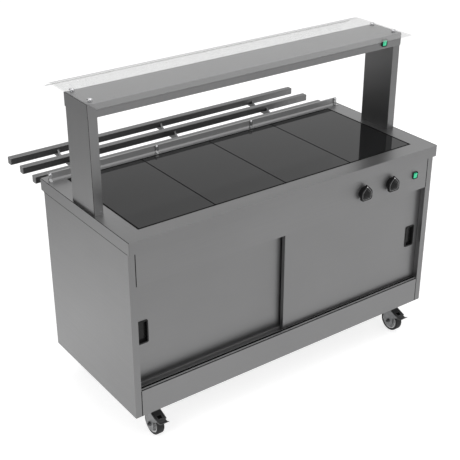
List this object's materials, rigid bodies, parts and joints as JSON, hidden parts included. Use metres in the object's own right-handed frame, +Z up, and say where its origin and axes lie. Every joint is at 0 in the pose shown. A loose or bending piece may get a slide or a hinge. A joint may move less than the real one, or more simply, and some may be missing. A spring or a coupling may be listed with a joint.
{
  "type": "mobile heated servery counter",
  "caption": "Steel hot cupboard on braked casters with sliding doors, glass hot top, heated gantry, curved clear guard and fold-down tray slide.",
  "frame": {"origin": "centre of the bounding box on the floor, tray slide raised and brake pedals included", "axes": "+Z up, +X to the operator's right along the doors, +Y from the doors to the tray slide"},
  "size_m": [1.525, 1.042, 1.338],
  "materials": {
    "satin_stainless": "satin",
    "inner_steel": "satin",
    "black_ceramic_glass": "gloss",
    "seal": "matte",
    "insulation": "matte",
    "element_sheath": "satin",
    "grey_plastic": "matte",
    "black_plastic": "satin",
    "gloss_black": "gloss",
    "green_rocker": "gloss",
    "reflector": "polished",
    "quartz": "gloss",
    "chrome": "polished",
    "clear_glass": "gloss",
    "zinc": "satin",
    "hub_plastic": "satin",
    "tyre": "matte",
    "pedal_black": "satin"
  },
  "bodies": {
    "counter": {"counter_top": "satin_stainless", "hot_top_tray": "inner_steel", "glass_panels": "black_ceramic_glass", "glass_seal": "seal", "heater_units": "insulation", "left_side_panel": "satin_stainless", "right_side_panel": "satin_stainless", "back_panel": "satin_stainless", "front_plinth": "satin_stainless", "control_fascia": "satin_stainless", "chassis": "inner_steel", "cabinet_floor": "inner_steel", "liner_panels": "inner_steel", "cupboard_shelf": "inner_steel", "shelf_brackets": "inner_steel", "top_door_track": "satin_stainless", "bottom_door_track": "satin_stainless", "cupboard_element": "element_sheath", "regulators": "grey_plastic", "switch_bodies": "black_plastic", "cable_gland": "black_plastic", "left_post": "satin_stainless", "right_post": "satin_stainless", "overshelf": "satin_stainless", "lamp_reflector": "reflector", "heat_tubes": "quartz", "tube_guard": "chrome", "guard_standoffs": "chrome", "clear_guard": "clear_glass", "rear_upstand": "satin_stainless", "upstand_brackets": "chrome", "caster_plates": "zinc", "slide_brackets": "satin_stainless"},
    "left_door": {"left_door": "satin_stainless", "left_handle": "black_plastic"},
    "right_door": {"right_door": "satin_stainless", "right_handle": "black_plastic"},
    "hot_top_control": {"hot_top_knob": "gloss_black"},
    "cupboard_control": {"cupboard_knob": "gloss_black"},
    "main_switch": {"main_rocker": "green_rocker"},
    "lamp_switch": {"lamp_rocker": "green_rocker"},
    "tray_slide": {"tray_arms": "satin_stainless", "tray_rails": "satin_stainless", "rail_caps": "satin_stainless"},
    "caster_fl": {"caster_fl_fork": "zinc"},
    "wheel_fl": {"caster_fl_hub": "hub_plastic", "caster_fl_tyre": "tyre"},
    "brake_fl": {"caster_fl_pedal": "pedal_black"},
    "caster_fr": {"caster_fr_fork": "zinc"},
    "wheel_fr": {"caster_fr_hub": "hub_plastic", "caster_fr_tyre": "tyre"},
    "brake_fr": {"caster_fr_pedal": "pedal_black"},
    "caster_rl": {"caster_rl_fork": "zinc"},
    "wheel_rl": {"caster_rl_hub": "hub_plastic", "caster_rl_tyre": "tyre"},
    "brake_rl": {"caster_rl_pedal": "pedal_black"},
    "caster_rr": {"caster_rr_fork": "zinc"},
    "wheel_rr": {"caster_rr_hub": "hub_plastic", "caster_rr_tyre": "tyre"},
    "brake_rr": {"caster_rr_pedal": "pedal_black"}
  },
  "joints": [
    {"name": "left_door_slide", "type": "slide", "parent": "counter", "child": "left_door", "axis": [1, 0, 0], "range_m": [0, 0.7]},
    {"name": "right_door_slide", "type": "slide", "parent": "counter", "child": "right_door", "axis": [-1, 0, 0], "range_m": [0, 0.7]},
    {"name": "hot_top_control_turn", "type": "hinge", "parent": "counter", "child": "hot_top_control", "pos_m": [0.3445, -0.493, 0.785], "axis": [0, 1, 0], "range_deg": [0, 300]},
    {"name": "cupboard_control_turn", "type": "hinge", "parent": "counter", "child": "cupboard_control", "pos_m": [0.4955, -0.493, 0.785], "axis": [0, 1, 0], "range_deg": [0, 300]},
    {"name": "main_switch_rock", "type": "hinge", "parent": "counter", "child": "main_switch", "pos_m": [0.6335, -0.489, 0.785], "axis": [-1, 0, 0], "range_deg": [0, 16]},
    {"name": "lamp_switch_rock", "type": "hinge", "parent": "counter", "child": "lamp_switch", "pos_m": [0.6335, -0.253, 1.298], "axis": [-1, 0, 0], "range_deg": [0, 16]},
    {"name": "tray_slide_fold", "type": "hinge", "parent": "counter", "child": "tray_slide", "pos_m": [0, 0.178, 0.812], "axis": [-1, 0, 0], "range_deg": [0, 90]},
    {"name": "caster_fl_swivel", "type": "hinge", "parent": "counter", "child": "caster_fl", "pos_m": [-0.6495, -0.406, 0.1177], "axis": [0, 0, 1], "continuous": true},
    {"name": "wheel_fl_spin", "type": "hinge", "parent": "caster_fl", "child": "wheel_fl", "pos_m": [-0.6495, -0.441, 0.05], "axis": [1, 0, 0], "continuous": true},
    {"name": "brake_fl_press", "type": "hinge", "parent": "caster_fl", "child": "brake_fl", "pos_m": [-0.6495, -0.437, 0.1082], "axis": [-1, 0, 0], "range_deg": [0, 14]},
    {"name": "caster_fr_swivel", "type": "hinge", "parent": "counter", "child": "caster_fr", "pos_m": [0.6245, -0.406, 0.1177], "axis": [0, 0, 1], "continuous": true},
    {"name": "wheel_fr_spin", "type": "hinge", "parent": "caster_fr", "child": "wheel_fr", "pos_m": [0.6245, -0.441, 0.05], "axis": [1, 0, 0], "continuous": true},
    {"name": "brake_fr_press", "type": "hinge", "parent": "caster_fr", "child": "brake_fr", "pos_m": [0.6245, -0.437, 0.1082], "axis": [-1, 0, 0], "range_deg": [0, 14]},
    {"name": "caster_rl_swivel", "type": "hinge", "parent": "counter", "child": "caster_rl", "pos_m": [-0.6495, 0.056, 0.1177], "axis": [0, 0, 1], "continuous": true},
    {"name": "wheel_rl_spin", "type": "hinge", "parent": "caster_rl", "child": "wheel_rl", "pos_m": [-0.6495, 0.091, 0.05], "axis": [1, 0, 0], "continuous": true},
    {"name": "brake_rl_press", "type": "hinge", "parent": "caster_rl", "child": "brake_rl", "pos_m": [-0.6495, 0.087, 0.1082], "axis": [1, 0, 0], "range_deg": [0, 14]},
    {"name": "caster_rr_swivel", "type": "hinge", "parent": "counter", "child": "caster_rr", "pos_m": [0.6245, 0.056, 0.1177], "axis": [0, 0, 1], "continuous": true},
    {"name": "wheel_rr_spin", "type": "hinge", "parent": "caster_rr", "child": "wheel_rr", "pos_m": [0.6245, 0.091, 0.05], "axis": [1, 0, 0], "continuous": true},
    {"name": "brake_rr_press", "type": "hinge", "parent": "caster_rr", "child": "brake_rr", "pos_m": [0.6245, 0.087, 0.1082], "axis": [1, 0, 0], "range_deg": [0, 14]}
  ]
}
